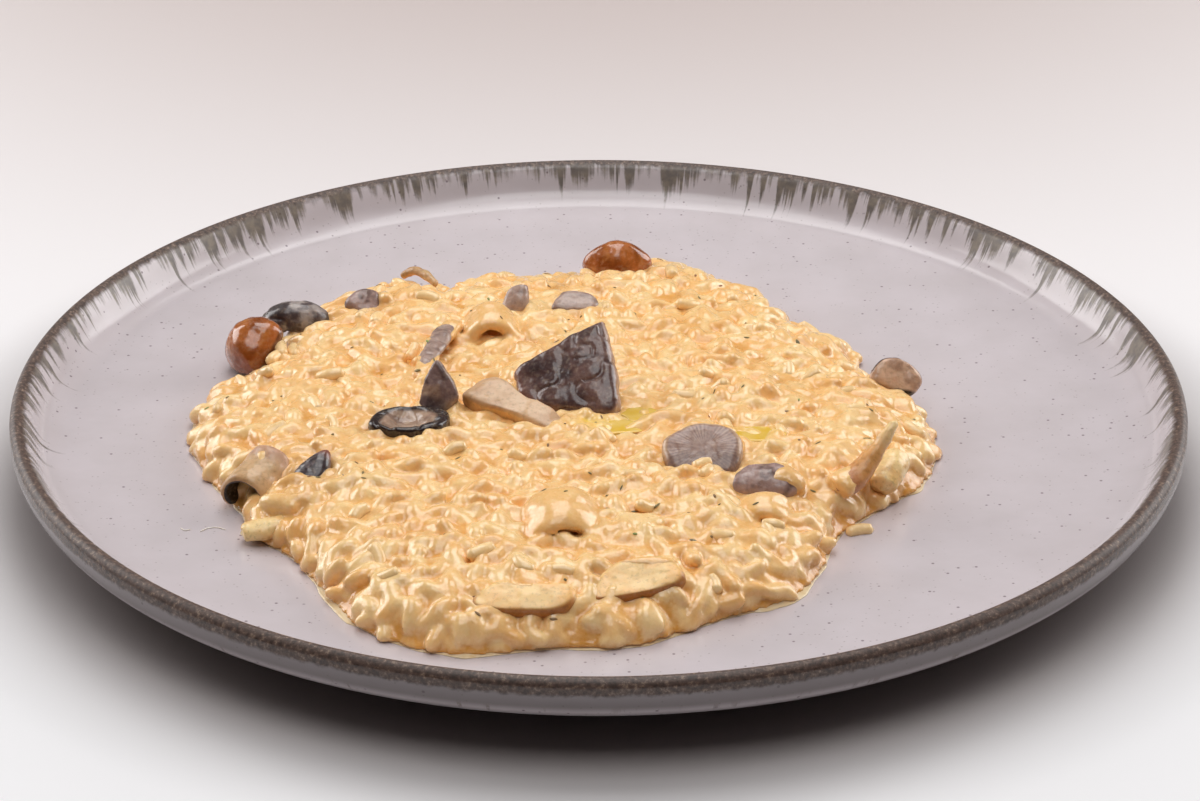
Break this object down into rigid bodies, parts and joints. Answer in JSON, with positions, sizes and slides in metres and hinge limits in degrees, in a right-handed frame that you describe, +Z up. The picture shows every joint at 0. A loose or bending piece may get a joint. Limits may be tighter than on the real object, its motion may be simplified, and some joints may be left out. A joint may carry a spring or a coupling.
{
  "type": "mushroom risotto on a plate",
  "caption": "Creamy rice heap spread over a shallow coupe stoneware plate, with pieces of cooked mushroom lying in and on it, standing on the plate's foot ring.",
  "frame": {"origin": "centre of the plate's foot ring, on the surface that the plate stands on", "axes": "+Z up; -Y towards the diner, +X to the diner's right"},
  "size_m": [0.27, 0.27, 0.0331],
  "materials": {
    "glazed_stoneware": "satin glaze, pinkish grey with brown-black speckle and a dark streaked rim",
    "risotto_rice": "wet creamy rice, soft gloss",
    "mushroom_dark": "wet wrinkled aubergine-brown cap",
    "mushroom_chestnut": "wet glossy orange-brown cap",
    "mushroom_grey": "wet grey-brown slice",
    "mushroom_tan": "moist tan stem flesh",
    "mushroom_coated": "mushroom coated with cream"
  },
  "bodies": {
    "root": {"plate": "glazed_stoneware", "risotto": "risotto_rice", "cap_quarter_dark": "mushroom_dark", "cap_curled_dark": "mushroom_dark", "wedge_upright_dark": "mushroom_dark", "leaf_dark_left": "mushroom_dark", "cap_chestnut_left": "mushroom_chestnut", "cap_chestnut_back": "mushroom_chestnut", "cap_wrinkled_left": "mushroom_grey", "cap_purple_left": "mushroom_grey", "tip_grey_back": "mushroom_grey", "sliver_grey_back": "mushroom_grey", "cap_slice_right": "mushroom_grey", "slab_grey_right": "mushroom_grey", "slice_purple_right": "mushroom_grey", "strip_curved_left": "mushroom_grey", "stem_slice_long": "mushroom_tan", "curl_hollow_left": "mushroom_tan", "slab_broad_front": "mushroom_tan", "slab_pointed_front": "mushroom_tan", "stem_horn_right": "mushroom_tan", "strip_back": "mushroom_tan", "hood_coated": "mushroom_coated", "curl_arched_right": "mushroom_coated", "curl_coated_front": "mushroom_coated", "stem_barrel_right": "mushroom_coated", "stem_coated_right": "mushroom_coated", "chunk_pale_left": "mushroom_coated"}
  },
  "joints": []
}
